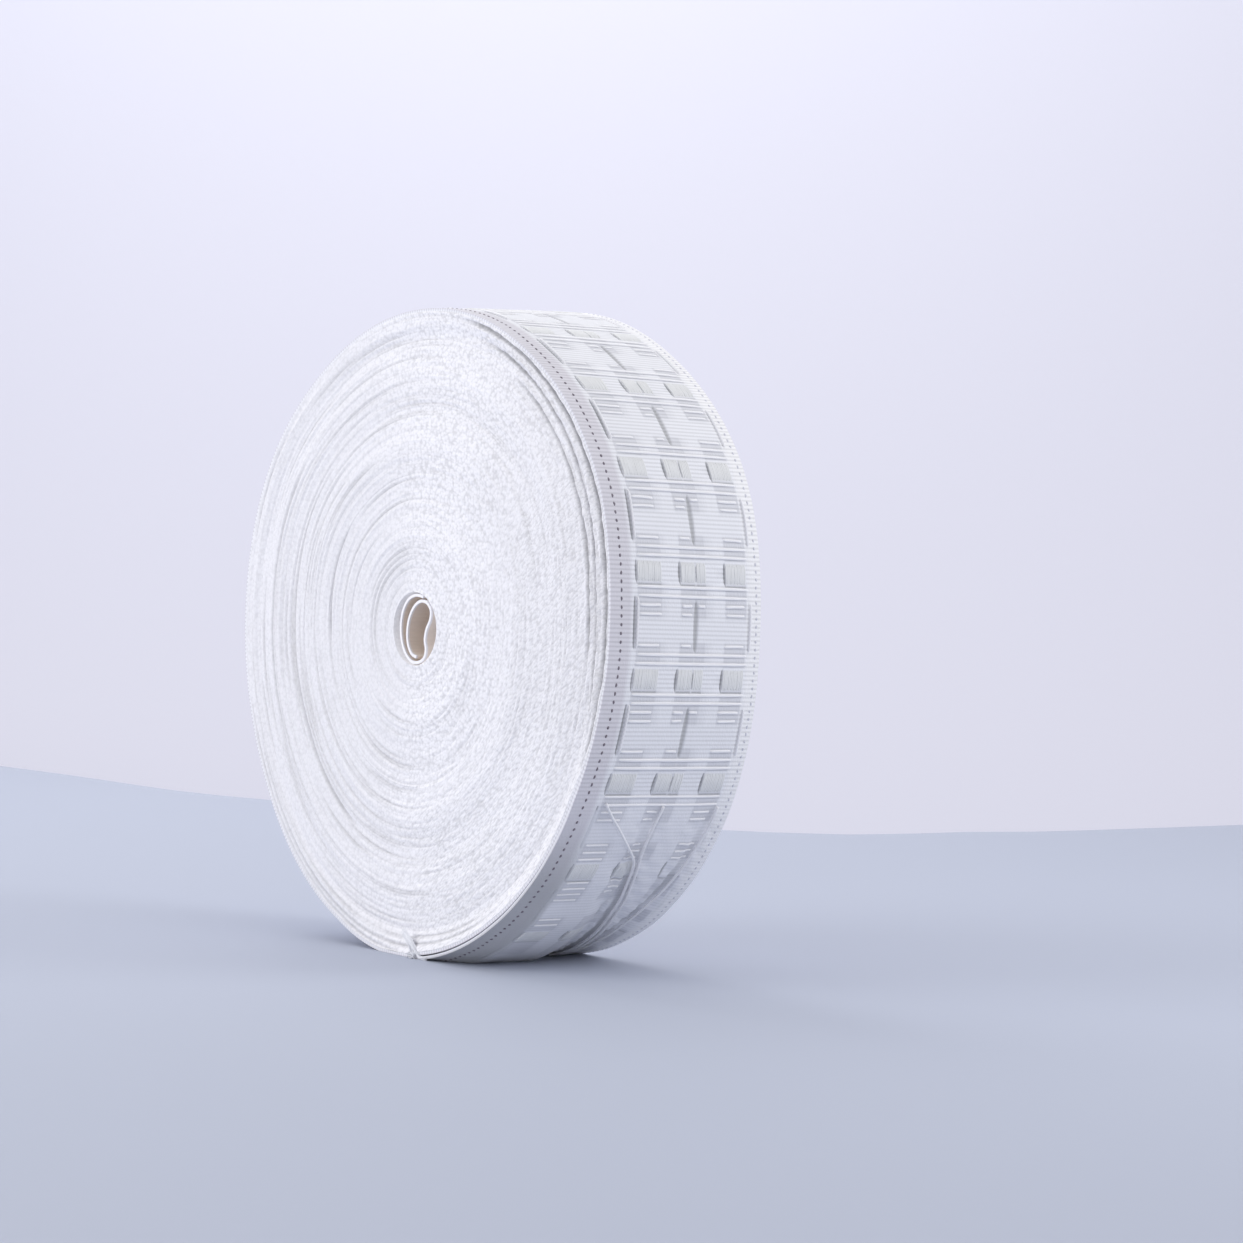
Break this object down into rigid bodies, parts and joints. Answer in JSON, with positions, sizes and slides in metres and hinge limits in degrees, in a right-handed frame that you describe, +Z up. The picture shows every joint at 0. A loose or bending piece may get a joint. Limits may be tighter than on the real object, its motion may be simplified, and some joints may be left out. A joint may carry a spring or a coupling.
{
  "type": "roll of curtain heading tape",
  "caption": "Upright wound roll of woven pencil-pleat curtain heading tape with an open centre hole, a loose pinched inner end and three draw cords pulled out at the outer end.",
  "frame": {"origin": "on the flat spot under the roll's centre, half-way across the tape's width", "axes": "+Y along the roll's axis, away from the face that the picture shows; +Z up"},
  "size_m": [0.2691, 0.0772, 0.2703],
  "materials": {
    "woven_tape": "white woven polyester tape",
    "draw_cord": "white twisted polyester cord"
  },
  "bodies": {
    "root": {"wound_roll": "woven_tape", "tape_end": "woven_tape", "inner_end": "woven_tape", "draw_cord_near": "draw_cord", "draw_cord_middle": "draw_cord", "draw_cord_far": "draw_cord"}
  },
  "joints": []
}
